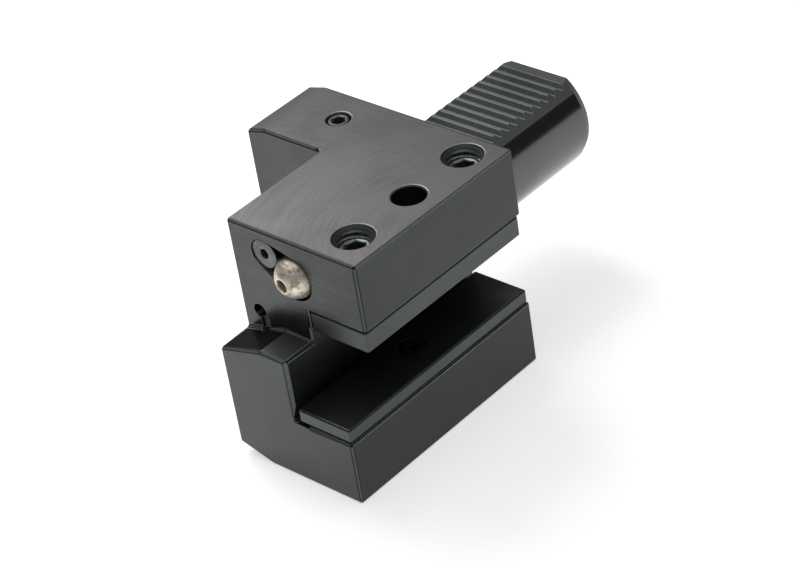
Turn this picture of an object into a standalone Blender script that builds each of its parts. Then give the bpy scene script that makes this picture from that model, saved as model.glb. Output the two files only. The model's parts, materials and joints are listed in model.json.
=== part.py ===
"""VDI axial tool holder, form C1: a 40 mm serrated shank for square-shank turning tools.

Frame: the origin is where the shank's axis meets the flange's contact face. +Y runs along the
shank to its free end, +X to the open side of the tool slot, +Z up to the toothed side.
"""
import math

import bmesh
import bpy
from mathutils import Matrix, Vector

MM = 0.001

# Clearances
FIT_GAP = 0.3 * MM
CONE_GAP = FIT_GAP * (math.sqrt(2) - 1)
BAR_GAP = 0.4 * MM
CUT_PAST = 5.0 * MM

# Shank
SHANK_RADIUS = 20.0 * MM
SHANK_LENGTH = 63.0 * MM
SHANK_LEAD_DEPTH = 1.0 * MM
SHANK_LEAD_LENGTH = 2.5 * MM
UNDERCUT_DEPTH = 2.3 * MM
UNDERCUT_WIDTH = 3.6 * MM
SPIGOT_LENGTH = 5.0 * MM
CENTRE_HOLE_RADIUS = 4.2 * MM
CENTRE_DRILL_RADIUS = 1.6 * MM
CENTRE_DRILL_LENGTH = 3.0 * MM
CENTRE_HOLE_ANGLE = math.radians(30)
SEAL_CORD_RADIUS = 1.4 * MM

# Teeth on the shank
TOOTH_CREST_HEIGHT = 15.0 * MM
TOOTH_PITCH = 4.0 * MM
TOOTH_DEPTH = 1.4 * MM
TOOTH_CREST_WIDTH = 1.0 * MM
TOOTH_ROOT_WIDTH = 0.4 * MM
LAST_GROOVE_FROM_END = 5.5 * MM
FLAT_START = 8.0 * MM
SIDE_CHAMFER_DEPTH = 0.2 * MM
SIDE_CHAMFER_ANGLE = math.radians(46.5)

# Body: flange plate, upper block and lower jaw in one piece
BODY_TOP = 32.5 * MM
BODY_BOTTOM = -48.0 * MM
BODY_RIGHT = 42.5 * MM
FLANGE_LEFT = -42.5 * MM
FLANGE_THICKNESS = 30.0 * MM
BLOCK_LEFT = -10.0 * MM
BLOCK_LENGTH = 72.5 * MM
JAW_LENGTH = 85.0 * MM
JAW_RIGHT = 41.3 * MM
SECTOR_SLOPE = math.tan(math.radians(15))
WING_CHAMFER_WIDTH = 8.0 * MM
BOTTOM_FLAT_LEFT = 3.5 * MM
SHELF_HEIGHT = -2.9 * MM
SHELF_FLAT_LEFT = 7.8 * MM
SLOT_WALL = 18.7 * MM
SLOT_FLOOR = -25.0 * MM
SLOT_CEILING = 9.0 * MM
SLOT_WALL_CHAMFER = 1.2 * MM
RELIEF_IN_WALL = 1.2 * MM
RELIEF_IN_SLOT = 1.2 * MM
RELIEF_DEPTH = 1.0 * MM
RELIEF_ABOVE_PLATE = 0.2 * MM
RELIEF_CORNER = 0.6 * MM
WING_FILLET = 2.0 * MM
EDGE_BREAK = 0.8 * MM

# Rest plate and what holds it
REST_PLATE_THICKNESS = 5.0 * MM
REST_PLATE_REAR = 0.8 * MM
REST_PLATE_WALL_GAP = 1.3 * MM
REST_PLATE_EDGE = 0.5 * MM
REST_SCREW_X = 29.5 * MM
REST_SCREW_HEAD_RADIUS = 4.6 * MM
REST_SCREW_RADIUS = 2.5 * MM
REST_SCREW_LENGTH = 14.0 * MM
REST_SOCKET = 3.0 * MM
REST_PIN_RADIUS = 2.0 * MM
REST_PIN_LENGTH = 10.0 * MM
REST_PIN_IN_PLATE = 2.8 * MM
REST_PIN_FROM_END = 14.0 * MM

# Clamp bar and its screws
BAR_THICKNESS = 7.4 * MM
BAR_WALL_GAP = 1.0 * MM
BAR_REAR = 1.2 * MM
BAR_EDGE = 0.5 * MM
BAR_IN_POCKET = 0.6 * MM
CLAMP_LINE_X = 31.5 * MM
CLAMP_SCREW_FROM_FRONT = 12.0 * MM
CLAMP_SCREW_FROM_FLANGE = 10.5 * MM
CLAMP_SCREW_RADIUS = 6.0 * MM
CLAMP_SCREW_LENGTH = 20.0 * MM
CLAMP_SCREW_POINT_RADIUS = 4.2 * MM
CLAMP_SCREW_POINT_LENGTH = 3.0 * MM
CLAMP_SCREW_EDGE = 0.8 * MM
CLAMP_SOCKET = 6.0 * MM
CLAMP_HOLE_CHAMFER = 0.9 * MM

# Screw and spring that hang the bar
HANGER_HOLE_RADIUS = 5.5 * MM
HANGER_HOLE_CHAMFER = 0.4 * MM
HANGER_LAND = 3.0 * MM
HANGER_HEAD_RADIUS = 5.0 * MM
HANGER_HEAD_HEIGHT = 4.0 * MM
HANGER_HEAD_DEPTH = 7.5 * MM
HANGER_SOCKET = 4.0 * MM
HANGER_RADIUS = 3.0 * MM
HANGER_THREAD_DEPTH = 6.0 * MM
HANGER_PLAY = 0.4 * MM
WASHER_THICKNESS = 1.0 * MM
WASHER_RADIUS = 5.1 * MM
SPRING_RADIUS = 4.2 * MM
SPRING_WIRE_RADIUS = 0.45 * MM
SPRING_END_TURNS = 0.75
SPRING_WORKING_TURNS = 1.75

# Coolant ball nozzle
NOZZLE_X = 15.0 * MM
NOZZLE_Z = 18.8 * MM
NOZZLE_POCKET_RADIUS = 7.7 * MM
NOZZLE_POCKET_DEPTH = 9.7 * MM
BALL_RADIUS = 6.9 * MM
BALL_CENTRE_DEPTH = 2.0 * MM
BALL_JET_RADIUS = 2.1 * MM
BALL_INLET_RADIUS = 3.2 * MM
BALL_FLAT_RADIUS = 2.5 * MM
BALL_AIM = Vector((-0.09, -0.994, -0.045)).normalized()
SEAL_BORE_RADIUS = 4.0 * MM
SEAL_THICKNESS = 3.6 * MM
NOZZLE_SCREW_X = 4.2 * MM
NOZZLE_SCREW_Z = 24.0 * MM
NOZZLE_SCREW_HEAD_RADIUS = 4.9 * MM
NOZZLE_SCREW_RADIUS = 2.5 * MM
NOZZLE_SCREW_LENGTH = 12.0 * MM
NOZZLE_SOCKET = 3.0 * MM
NOZZLE_WEB_DEPTH = 2.8 * MM

# Coolant drillings and plugs
DRILLING_RADIUS = 2.5 * MM
TOP_DRILLING_RADIUS = 3.0 * MM
SHORT_OF_CROSSING = 0.8 * MM
DRILL_POINT = math.tan(math.radians(31))
CROSS_DRILLING_DEPTH = 13.2 * MM
OUTLET_X = -2.6 * MM
OUTLET_Z = 0.7 * MM
OUTLET_GROOVE_RADIUS = 1.8 * MM
INLET_X = -28.0 * MM
INLET_RADIUS = 3.0 * MM
INLET_CHAMFER = 0.6 * MM
INLET_DEPTH = 12.0 * MM
PLUG_RADIUS = 4.0 * MM
PLUG_LENGTH = 8.0 * MM
PLUG_SUNK = 0.4 * MM
PLUG_SOCKET = 4.0 * MM
PLUG_HOLE_CHAMFER = 0.4 * MM
TOP_PLUG_X = -17.5 * MM

# Small screw and pin details
SOCKET_RATIO = 0.6
SCREW_RUNOUT = 2.0 * MM
SCREW_RIM = 0.3 * MM
PIN_EDGE = 0.4 * MM
PLUG_EDGE = 0.4 * MM

# Facets
FINE = 64
ROUND = 32
COARSE = 20
CROSSED = 30

# Places worked out from the sizes above
REST_TOP = SLOT_FLOOR + REST_PLATE_THICKNESS
BAR_TOP = SLOT_CEILING - BAR_GAP
BAR_BOTTOM = BAR_TOP - BAR_THICKNESS
POCKET_STEP = BAR_BOTTOM + BAR_IN_POCKET
BLOCK_FRONT = -BLOCK_LENGTH
JAW_FRONT = -JAW_LENGTH
FRONT_CLAMP_Y = BLOCK_FRONT + CLAMP_SCREW_FROM_FRONT
REAR_CLAMP_Y = -CLAMP_SCREW_FROM_FLANGE
HANGER_Y = (FRONT_CLAMP_Y + REAR_CLAMP_Y) / 2
CROSS_Y = -CROSS_DRILLING_DEPTH
HANGER_FLOOR = SLOT_CEILING + HANGER_LAND
HANGER_HEAD_TOP = BODY_TOP - HANGER_HEAD_DEPTH
HANGER_HEAD_BOTTOM = HANGER_HEAD_TOP - HANGER_HEAD_HEIGHT
WASHER_TOP = HANGER_HEAD_BOTTOM - FIT_GAP
WASHER_BOTTOM = WASHER_TOP - WASHER_THICKNESS
BALL_CENTRE = Vector((NOZZLE_X, BLOCK_FRONT + BALL_CENTRE_DEPTH, NOZZLE_Z))
UP = Vector((0, 0, 1))
FORWARD = Vector((0, -1, 0))
BACKWARD = Vector((0, 1, 0))
LEFT = Vector((-1, 0, 0))

for old in list(bpy.data.objects):
    bpy.data.objects.remove(old)

holder = bpy.data.collections.new("vdi_axial_tool_holder")
cutters = bpy.data.collections.new("cutters")
bpy.context.scene.collection.children.link(holder)
bpy.context.scene.collection.children.link(cutters)


# Tools for shapes


def material(name, colour, roughness, metallic):
    made = bpy.data.materials.new(name)
    made.use_nodes = True
    surface = made.node_tree.nodes["Principled BSDF"]
    surface.inputs["Base Color"].default_value = (*colour, 1.0)
    surface.inputs["Roughness"].default_value = roughness
    surface.inputs["Metallic"].default_value = metallic
    made.diffuse_color = (*colour, 1.0)
    return made


def add_object(name, data, matrix, collection):
    made = bpy.data.objects.new(name, data)
    made.matrix_world = matrix
    collection.objects.link(made)
    return made


def as_cutter(piece):
    piece.hide_render = True
    piece.display_type = "WIRE"
    return piece


def facing(place, direction):
    """Matrix that stands a piece at place with its local Z along direction."""
    turn = Vector(direction).to_track_quat("Z", "Y").to_matrix().to_4x4()
    return Matrix.Translation(place) @ turn


def as_mesh(piece, collection, whole_caps=False):
    """The evaluated piece as a plain welded mesh, shaded smooth with its real edges sharp."""
    bpy.context.view_layer.update()
    evaluated = piece.evaluated_get(bpy.context.evaluated_depsgraph_get())
    mesh = bpy.data.meshes.new_from_object(evaluated)
    welded = bmesh.new()
    welded.from_mesh(mesh)
    bmesh.ops.remove_doubles(welded, verts=welded.verts, dist=0.001 * MM)
    if whole_caps:
        bmesh.ops.dissolve_limit(welded, angle_limit=math.radians(0.05), verts=welded.verts,
                                 edges=welded.edges)
    welded.to_mesh(mesh)
    welded.free()
    mesh.shade_smooth()
    mesh.set_sharp_from_angle(angle=math.radians(30))
    name, matrix = piece.name, piece.matrix_world.copy()
    bpy.data.objects.remove(piece)
    return add_object(name, mesh, matrix, collection)


def box(name, low, high, collection):
    """Box between two corners, with its origin at its centre."""
    low, high = Vector(low), Vector(high)
    shape = bmesh.new()
    bmesh.ops.create_cube(shape, size=1.0)
    bmesh.ops.scale(shape, vec=high - low, verts=shape.verts)
    mesh = bpy.data.meshes.new(name)
    shape.to_mesh(mesh)
    shape.free()
    return add_object(name, mesh, Matrix.Translation((low + high) / 2), collection)


def prism(name, outline, axis, low, high, collection):
    """Flat outline extruded along an axis: (x, z) points for Y, (x, y) for Z, (y, z) for X."""
    curve = bpy.data.curves.new(name, "CURVE")
    curve.dimensions = "2D"
    curve.fill_mode = "BOTH"
    curve.extrude = (high - low) / 2
    spline = curve.splines.new("POLY")
    spline.points.add(len(outline) - 1)
    for point, (first, second) in zip(spline.points, outline):
        point.co = (first, second, 0, 1)
    spline.use_cyclic_u = True
    turns = {
        "X": Matrix(((0, 0, 1), (1, 0, 0), (0, 1, 0))),
        "Y": Matrix(((1, 0, 0), (0, 0, -1), (0, 1, 0))),
        "Z": Matrix.Identity(3),
    }
    steps = {"X": Vector((1, 0, 0)), "Y": Vector((0, 1, 0)), "Z": UP}
    matrix = Matrix.Translation(steps[axis] * (low + high) / 2) @ turns[axis].to_4x4()
    return as_mesh(add_object(name, curve, matrix, collection), collection, whole_caps=True)


def turned(name, profile, place, direction, collection, segments=ROUND, closed=False):
    """Profile of (radius, height) points, read down its outer side, turned about local Z."""
    mesh = bpy.data.meshes.new(name)
    edges = [(at, at + 1) for at in range(len(profile) - 1)]
    if closed:
        edges.append((len(profile) - 1, 0))
    mesh.from_pydata([(radius, 0, height) for radius, height in profile], edges, [])
    made = add_object(name, mesh, facing(place, direction), collection)
    screw = made.modifiers.new("turn", "SCREW")
    screw.steps = segments
    screw.render_steps = segments
    screw.use_merge_vertices = True
    screw.merge_threshold = 0.001 * MM
    return made


def hexagon(name, across_flats, place, direction, depth):
    """Cutter for a hex socket that opens at place, towards direction."""
    shape = bmesh.new()
    radius = across_flats / math.sqrt(3)
    bmesh.ops.create_cone(shape, cap_ends=True, segments=6, radius1=radius, radius2=radius,
                          depth=depth + CUT_PAST)
    bmesh.ops.translate(shape, vec=(0, 0, (CUT_PAST - depth) / 2), verts=shape.verts)
    mesh = bpy.data.meshes.new(name)
    shape.to_mesh(mesh)
    shape.free()
    return as_cutter(add_object(name, mesh, facing(place, direction), cutters))


def combine(piece, other, operation):
    step = piece.modifiers.new(other.name, "BOOLEAN")
    step.operation = operation
    step.solver = "EXACT"
    step.object = other
    as_cutter(other)


def cut(piece, other):
    combine(piece, other, "DIFFERENCE")


def bevel(piece, width, segments=1):
    step = piece.modifiers.new("edge_break", "BEVEL")
    step.width = width
    step.segments = segments
    step.limit_method = "ANGLE"
    step.angle_limit = math.radians(30)
    step.use_clamp_overlap = False


def bore(piece, name, place, direction, steps, drilled=True, segments=ROUND):
    """Stepped hole whose mouth is at place; steps are (radius, depth) from the mouth inwards."""
    first_radius = steps[0][0]
    profile = [(0, CUT_PAST), (first_radius, CUT_PAST)]
    profile += [(radius, -depth) for radius, depth in steps]
    last_radius, last_depth = steps[-1]
    tip = last_radius * DRILL_POINT if drilled else 0
    profile.append((0, -last_depth - tip))
    cut(piece, turned(name, profile, place, direction, cutters, segments))


def finish(piece, surface):
    """Fix the piece's shape and give it its material."""
    made = as_mesh(piece, holder)
    made.data.materials.clear()
    made.data.materials.append(surface)
    return made


def arc(centre, radius, start, end, steps):
    """Points on a circle from start to end, in degrees."""
    angles = [math.radians(start + (end - start) * at / steps) for at in range(steps + 1)]
    return [(centre[0] + radius * math.cos(a), centre[1] + radius * math.sin(a)) for a in angles]


# Shank


def tooth_outline():
    """Side view, in (y, z), of what is cut above the shank's toothed flat."""
    above = SHANK_RADIUS + CUT_PAST
    ramp = above - TOOTH_CREST_HEIGHT
    points = [(FLAT_START - ramp, above), (FLAT_START, TOOTH_CREST_HEIGHT)]
    flank = (TOOTH_PITCH - TOOTH_CREST_WIDTH - TOOTH_ROOT_WIDTH) / 2
    half = TOOTH_ROOT_WIDTH / 2
    last = SHANK_LENGTH - LAST_GROOVE_FROM_END
    grooves = int((last - half - flank - FLAT_START) / TOOTH_PITCH) + 1
    for groove in reversed(range(grooves)):
        middle = last - groove * TOOTH_PITCH
        points += [
            (middle - half - flank, TOOTH_CREST_HEIGHT),
            (middle - half, TOOTH_CREST_HEIGHT - TOOTH_DEPTH),
            (middle + half, TOOTH_CREST_HEIGHT - TOOTH_DEPTH),
            (middle + half + flank, TOOTH_CREST_HEIGHT),
        ]
    end = SHANK_LENGTH + CUT_PAST
    return points + [(end, TOOTH_CREST_HEIGHT), (end, above)]


def make_shank():
    """Serrated cylinder with a centre hole in its end and an undercut at its root."""
    drill_end = CENTRE_DRILL_RADIUS * DRILL_POINT
    cone = (CENTRE_HOLE_RADIUS - CENTRE_DRILL_RADIUS) / math.tan(CENTRE_HOLE_ANGLE)
    cone_bottom = SHANK_LENGTH - cone
    root_radius = SHANK_RADIUS - UNDERCUT_DEPTH
    profile = [
        (0, cone_bottom - CENTRE_DRILL_LENGTH - drill_end),
        (CENTRE_DRILL_RADIUS, cone_bottom - CENTRE_DRILL_LENGTH),
        (CENTRE_DRILL_RADIUS, cone_bottom),
        (CENTRE_HOLE_RADIUS, SHANK_LENGTH),
        (SHANK_RADIUS - SHANK_LEAD_DEPTH, SHANK_LENGTH),
        (SHANK_RADIUS, SHANK_LENGTH - SHANK_LEAD_LENGTH),
        (SHANK_RADIUS, UNDERCUT_WIDTH),
        (root_radius, UNDERCUT_WIDTH),
        (root_radius, -SPIGOT_LENGTH),
        (0, -SPIGOT_LENGTH),
    ]
    shank = turned("shank", profile, (0, 0, 0), BACKWARD, cutters, FINE)
    across = SHANK_RADIUS + CUT_PAST
    cut(shank, prism("teeth", tooth_outline(), "X", -across, across, cutters))
    plane = SHANK_RADIUS - SIDE_CHAMFER_DEPTH
    for side, name in ((1, "right_side_chamfer"), (-1, "left_side_chamfer")):
        slab = box(name, (-CUT_PAST, FLAT_START, plane),
                   (CUT_PAST, SHANK_LENGTH + CUT_PAST, plane + CUT_PAST), cutters)
        slab.matrix_world = Matrix.Rotation(side * SIDE_CHAMFER_ANGLE, 4, "Y") @ slab.matrix_world
        cut(shank, slab)
    return shank


# Body


def body_outline():
    """Outline of the flange plate, seen along the shank."""
    bottom_rise = (BOTTOM_FLAT_LEFT - FLANGE_LEFT) * SECTOR_SLOPE
    return [
        (FLANGE_LEFT, BODY_TOP - WING_CHAMFER_WIDTH * SECTOR_SLOPE),
        (FLANGE_LEFT, BODY_BOTTOM + bottom_rise),
        (BOTTOM_FLAT_LEFT, BODY_BOTTOM),
        (BODY_RIGHT, BODY_BOTTOM),
        (BODY_RIGHT, BODY_TOP),
        (FLANGE_LEFT + WING_CHAMFER_WIDTH, BODY_TOP),
    ]


def cut_main_forms(body):
    """Mill the steps beside and above the jaw, and the tool slot."""
    far_left = FLANGE_LEFT - CUT_PAST
    far_right = BODY_RIGHT + CUT_PAST
    far_front = JAW_FRONT - CUT_PAST
    low, high = BODY_BOTTOM - CUT_PAST, BODY_TOP + CUT_PAST
    corner = (BLOCK_LEFT - WING_FILLET, -FLANGE_THICKNESS - WING_FILLET)
    left_step = [(far_left, -FLANGE_THICKNESS), (far_left, far_front), (BLOCK_LEFT, far_front)]
    left_step += arc(corner, WING_FILLET, 0, 90, 6)
    cut(body, prism("left_step", left_step, "Z", low, high, cutters))
    shelf_drop = (SHELF_FLAT_LEFT - far_left) * SECTOR_SLOPE
    front_step = [(far_left, SHELF_HEIGHT - shelf_drop), (SHELF_FLAT_LEFT, SHELF_HEIGHT),
                  (far_right, SHELF_HEIGHT), (far_right, high), (far_left, high)]
    cut(body, prism("front_step", front_step, "Y", far_front, BLOCK_FRONT, cutters))
    cut(body, box("tool_slot", (SLOT_WALL, far_front, SLOT_FLOOR),
                  (far_right, CUT_PAST, POCKET_STEP), cutters))
    cut(body, box("jaw_side", (JAW_RIGHT, far_front, low),
                  (far_right, CUT_PAST, POCKET_STEP), cutters))


def cut_slot_details(body):
    """Pocket for the clamp bar, relief in the slot's corner, chamfer on the wall's front edge."""
    bottom = SLOT_FLOOR - RELIEF_DEPTH
    far_front = JAW_FRONT - CUT_PAST
    cut(body, box("bar_pocket", (SLOT_WALL + BAR_WALL_GAP - FIT_GAP, far_front, BAR_BOTTOM),
                  (BODY_RIGHT + CUT_PAST, CUT_PAST, SLOT_CEILING), cutters))
    inner, outer = SLOT_WALL - RELIEF_IN_WALL, SLOT_WALL + RELIEF_IN_SLOT
    top = REST_TOP + RELIEF_ABOVE_PLATE
    steepness = (top - bottom - RELIEF_CORNER) / RELIEF_IN_WALL
    relief = [(outer, top + RELIEF_IN_SLOT * steepness), (inner, bottom + RELIEF_CORNER),
              (inner + RELIEF_CORNER, bottom), (outer - RELIEF_CORNER, bottom),
              (outer, bottom + RELIEF_CORNER)]
    cut(body, prism("slot_relief", relief, "Y", far_front, CUT_PAST, cutters))
    reach = SLOT_WALL_CHAMFER + CUT_PAST
    wall_chamfer = [(SLOT_WALL - reach, far_front), (SLOT_WALL + CUT_PAST, far_front),
                    (SLOT_WALL + CUT_PAST, JAW_FRONT + reach)]
    cut(body, prism("slot_wall_chamfer", wall_chamfer, "Z", bottom, BODY_TOP, cutters))


def cut_holes(body):
    """Drill the screw holes, the nozzle pocket and the coolant drillings."""
    block_depth = BODY_TOP - SLOT_CEILING
    for name, y in clamp_screw_places():
        bore(body, name + "_hole", (CLAMP_LINE_X, y, BODY_TOP), UP,
             [(CLAMP_SCREW_RADIUS + CLAMP_HOLE_CHAMFER, 0),
              (CLAMP_SCREW_RADIUS, CLAMP_HOLE_CHAMFER),
              (CLAMP_SCREW_RADIUS, block_depth + CUT_PAST)], drilled=False)
    passage = HANGER_RADIUS + HANGER_PLAY
    bore(body, "hanger_hole", (CLAMP_LINE_X, HANGER_Y, BODY_TOP), UP,
         [(HANGER_HOLE_RADIUS + HANGER_HOLE_CHAMFER, 0),
          (HANGER_HOLE_RADIUS, HANGER_HOLE_CHAMFER),
          (HANGER_HOLE_RADIUS, BODY_TOP - HANGER_FLOOR),
          (passage, BODY_TOP - HANGER_FLOOR),
          (passage, block_depth + CUT_PAST)], drilled=False)
    bore(body, "nozzle_pocket", (NOZZLE_X, BLOCK_FRONT, NOZZLE_Z), FORWARD,
         [(NOZZLE_POCKET_RADIUS, NOZZLE_POCKET_DEPTH),
          (DRILLING_RADIUS, NOZZLE_POCKET_DEPTH),
          (DRILLING_RADIUS, BLOCK_LENGTH - CROSS_DRILLING_DEPTH - SHORT_OF_CROSSING)])
    seat = NOZZLE_SCREW_HEAD_RADIUS + FIT_GAP
    bore(body, "nozzle_screw_hole", (NOZZLE_SCREW_X, BLOCK_FRONT, NOZZLE_SCREW_Z), FORWARD,
         countersunk(seat, NOZZLE_SCREW_RADIUS) + [(NOZZLE_SCREW_RADIUS,
                                                    NOZZLE_SCREW_LENGTH + SCREW_RUNOUT)])
    cut(body, prism("nozzle_web", nozzle_web_outline(seat), "Y", BLOCK_FRONT - CUT_PAST,
                    BLOCK_FRONT + NOZZLE_WEB_DEPTH, cutters))
    bore(body, "outlet", (OUTLET_X, BLOCK_FRONT, OUTLET_Z), FORWARD,
         [(DRILLING_RADIUS, BLOCK_LENGTH - CROSS_DRILLING_DEPTH - SHORT_OF_CROSSING)])
    groove_x = OUTLET_X + DRILLING_RADIUS - OUTLET_GROOVE_RADIUS / 2
    groove_drop = OUTLET_Z - SHELF_HEIGHT + (SHELF_FLAT_LEFT - OUTLET_X) * SECTOR_SLOPE
    bore(body, "outlet_groove", (groove_x, BLOCK_FRONT, OUTLET_Z - groove_drop), UP,
         [(OUTLET_GROOVE_RADIUS, 0)], drilled=False, segments=COARSE)
    plug_depth = PLUG_SUNK + PLUG_LENGTH + FIT_GAP
    for name, place, direction, radius, depth in plug_places():
        bore(body, name + "_hole", place, direction,
             [(PLUG_RADIUS + PLUG_HOLE_CHAMFER, 0), (PLUG_RADIUS, PLUG_HOLE_CHAMFER),
              (PLUG_RADIUS, plug_depth), (radius, plug_depth),
              (radius, depth - SHORT_OF_CROSSING)], segments=CROSSED)
    bore(body, "coolant_inlet", (INLET_X, 0, NOZZLE_Z), BACKWARD,
         [(INLET_RADIUS + INLET_CHAMFER, 0), (INLET_RADIUS, INLET_CHAMFER),
          (INLET_RADIUS, INLET_DEPTH)])
    bore(body, "rest_screw_hole", (REST_SCREW_X, JAW_FRONT / 2, SLOT_FLOOR), UP,
         [(REST_SCREW_RADIUS, REST_SCREW_LENGTH)], segments=COARSE)
    for name, y in rest_pin_places():
        bore(body, name + "_hole", (REST_SCREW_X, y, SLOT_FLOOR), UP,
             [(REST_PIN_RADIUS + FIT_GAP, REST_PIN_LENGTH - REST_PIN_IN_PLATE + FIT_GAP)],
             segments=COARSE)


def countersunk(seat, passage):
    """Steps of a countersink that clears a screw sunk by the fit gap, with a short rim."""
    rim = FIT_GAP + SCREW_RIM + CONE_GAP
    return [(seat, rim), (passage, rim + seat - passage)]


def nozzle_web_outline(seat):
    """Flat between the ball's pocket and its screw's seat: the common tangents of both circles."""
    ball, screw = Vector((NOZZLE_X, NOZZLE_Z)), Vector((NOZZLE_SCREW_X, NOZZLE_SCREW_Z))
    along = screw - ball
    heading = math.atan2(along.y, along.x)
    spread = math.acos((NOZZLE_POCKET_RADIUS - seat) / along.length)
    points = []
    for centre, radius, sides in ((ball, NOZZLE_POCKET_RADIUS, (-1, 1)), (screw, seat, (1, -1))):
        for side in sides:
            angle = heading + side * spread
            points.append((centre.x + radius * math.cos(angle), centre.y + radius * math.sin(angle)))
    return points


def make_body(surface):
    body = prism("holder_body", body_outline(), "Y", JAW_FRONT, 0, holder)
    cut_main_forms(body)
    bevel(body, EDGE_BREAK)
    cut_slot_details(body)
    combine(body, make_shank(), "UNION")
    cut_holes(body)
    return finish(body, surface)


# Places of what repeats


def clamp_screw_places():
    return [("clamp_screw_front", FRONT_CLAMP_Y), ("clamp_screw_rear", REAR_CLAMP_Y)]


def rest_pin_places():
    return [("rest_plate_pin_front", JAW_FRONT + REST_PIN_FROM_END),
            ("rest_plate_pin_rear", -REST_PIN_FROM_END)]


def plug_places():
    """Name, mouth, direction out of it, radius and reach of each plugged drilling."""
    return [
        ("coolant_plug_top", (TOP_PLUG_X, CROSS_Y, BODY_TOP), UP, TOP_DRILLING_RADIUS,
         BODY_TOP - OUTLET_Z),
        ("coolant_plug_side_upper", (FLANGE_LEFT, CROSS_Y, NOZZLE_Z), LEFT, DRILLING_RADIUS,
         NOZZLE_X - FLANGE_LEFT),
        ("coolant_plug_side_lower", (FLANGE_LEFT, CROSS_Y, OUTLET_Z), LEFT, DRILLING_RADIUS,
         OUTLET_X - FLANGE_LEFT),
    ]


# Tool slot: rest plate, clamp bar and what holds them


def make_rest_plate(surface):
    low = (SLOT_WALL + REST_PLATE_WALL_GAP, JAW_FRONT + FIT_GAP, SLOT_FLOOR + FIT_GAP)
    high = (JAW_RIGHT - FIT_GAP, -REST_PLATE_REAR, REST_TOP)
    plate = box("rest_plate", low, high, holder)
    bevel(plate, REST_PLATE_EDGE)
    through = REST_PLATE_THICKNESS + CUT_PAST
    passage = REST_SCREW_RADIUS + FIT_GAP
    bore(plate, "rest_screw_passage", (REST_SCREW_X, JAW_FRONT / 2, REST_TOP), UP,
         countersunk(REST_SCREW_HEAD_RADIUS + FIT_GAP, passage) + [(passage, through)],
         drilled=False)
    for name, y in rest_pin_places():
        bore(plate, name + "_seat", (REST_SCREW_X, y, SLOT_FLOOR), -UP,
             [(REST_PIN_RADIUS + FIT_GAP, REST_PIN_IN_PLATE)], drilled=False, segments=COARSE)
    return finish(plate, surface)


def countersunk_screw(head, shaft, length):
    """Profile of a countersunk screw from its flat top down."""
    cone_end = SCREW_RIM + head - shaft
    return [(0, 0), (head, 0), (head, -SCREW_RIM), (shaft, -cone_end),
            (shaft, -length + PIN_EDGE), (shaft - PIN_EDGE, -length), (0, -length)]


def make_rest_screw(surface):
    head, shaft = REST_SCREW_HEAD_RADIUS, REST_SCREW_RADIUS - FIT_GAP
    top = Vector((REST_SCREW_X, JAW_FRONT / 2, REST_TOP - FIT_GAP))
    end = REST_PLATE_THICKNESS + REST_SCREW_LENGTH - SCREW_RUNOUT
    screw = turned("rest_plate_screw", countersunk_screw(head, shaft, end), top, UP, holder)
    cut(screw, hexagon("rest_screw_socket", REST_SOCKET, top, UP, REST_SOCKET * SOCKET_RATIO))
    return finish(screw, surface)


def make_rest_pins(surface):
    inner = REST_PIN_RADIUS - PIN_EDGE
    length = REST_PIN_LENGTH - FIT_GAP
    profile = [(0, 0), (inner, 0), (REST_PIN_RADIUS, -PIN_EDGE),
               (REST_PIN_RADIUS, -length + PIN_EDGE), (inner, -length), (0, -length)]
    for name, y in rest_pin_places():
        top = (REST_SCREW_X, y, SLOT_FLOOR + REST_PIN_IN_PLATE - FIT_GAP)
        finish(turned(name, profile, top, UP, holder, COARSE), surface)


def make_clamp_bar(surface):
    bar = box("clamp_bar", (SLOT_WALL + BAR_WALL_GAP, BLOCK_FRONT, BAR_BOTTOM),
              (BODY_RIGHT - FIT_GAP, -BAR_REAR, BAR_TOP), holder)
    bevel(bar, BAR_EDGE)
    bore(bar, "hanger_thread", (CLAMP_LINE_X, HANGER_Y, BAR_TOP), UP,
         [(HANGER_RADIUS, HANGER_THREAD_DEPTH)], drilled=False)
    return finish(bar, surface)


def make_clamp_screws(surface):
    """Set screws with a dog point, their sockets up."""
    radius = CLAMP_SCREW_RADIUS - FIT_GAP
    length = CLAMP_SCREW_LENGTH
    edge = CLAMP_SCREW_EDGE
    for name, y in clamp_screw_places():
        top = Vector((CLAMP_LINE_X, y, BAR_TOP + FIT_GAP + length))
        point_top = -length + CLAMP_SCREW_POINT_LENGTH
        profile = [(0, 0), (radius - edge, 0), (radius, -edge), (radius, point_top + edge),
                   (radius - edge, point_top), (CLAMP_SCREW_POINT_RADIUS, point_top),
                   (CLAMP_SCREW_POINT_RADIUS, -length + edge / 2),
                   (CLAMP_SCREW_POINT_RADIUS - edge / 2, -length), (0, -length)]
        screw = turned(name, profile, top, UP, holder)
        cut(screw, hexagon(name + "_socket", CLAMP_SOCKET, top, UP, CLAMP_SOCKET))
        finish(screw, surface)


def make_hanger_screw(surface):
    """Cap screw that hangs the bar; its head rides on the spring."""
    top = Vector((CLAMP_LINE_X, HANGER_Y, HANGER_HEAD_TOP))
    shaft = HANGER_RADIUS - FIT_GAP
    edge = PIN_EDGE
    end = HANGER_HEAD_TOP - (BAR_TOP - HANGER_THREAD_DEPTH + FIT_GAP)
    profile = [(0, 0), (HANGER_HEAD_RADIUS - edge, 0), (HANGER_HEAD_RADIUS, -edge),
               (HANGER_HEAD_RADIUS, -HANGER_HEAD_HEIGHT), (shaft, -HANGER_HEAD_HEIGHT),
               (shaft, -end + edge), (shaft - edge, -end), (0, -end)]
    screw = turned("bar_retaining_screw", profile, top, UP, holder)
    cut(screw, hexagon("hanger_socket", HANGER_SOCKET, top, UP, HANGER_SOCKET * SOCKET_RATIO))
    return finish(screw, surface)


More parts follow.
